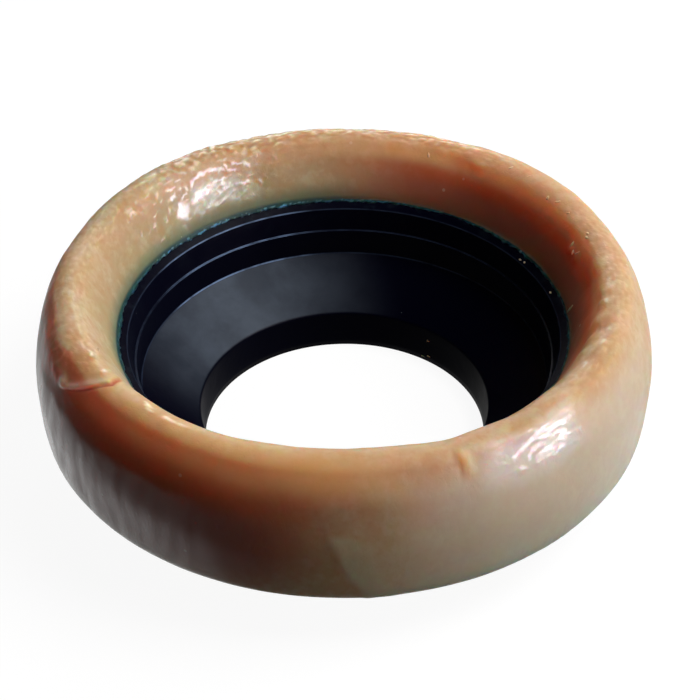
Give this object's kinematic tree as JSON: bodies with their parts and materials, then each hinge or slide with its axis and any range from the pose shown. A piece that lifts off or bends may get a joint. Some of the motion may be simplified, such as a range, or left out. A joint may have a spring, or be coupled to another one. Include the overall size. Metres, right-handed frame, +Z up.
{
  "type": "toilet pan seal",
  "caption": "Wax sealing ring moulded round the lip of a black plastic outlet horn, which leads the pan's outlet into the soil pipe.",
  "frame": {"origin": "on the axis, in the plane of the horn's open lower end", "axes": "+Z up along the axis, from the horn's end to the wax crest that meets the pan; -Y towards the camera in the picture"},
  "size_m": [0.1334, 0.1336, 0.0439],
  "materials": {
    "wax": "soft tan petroleum wax, slightly translucent, with greasy shine, finger marks and a lap",
    "black_plastic": "smooth moulded black polyethylene with a wax haze on the cone"
  },
  "bodies": {
    "root": {"outlet_horn": "black_plastic", "wax_ring": "wax"}
  },
  "joints": []
}
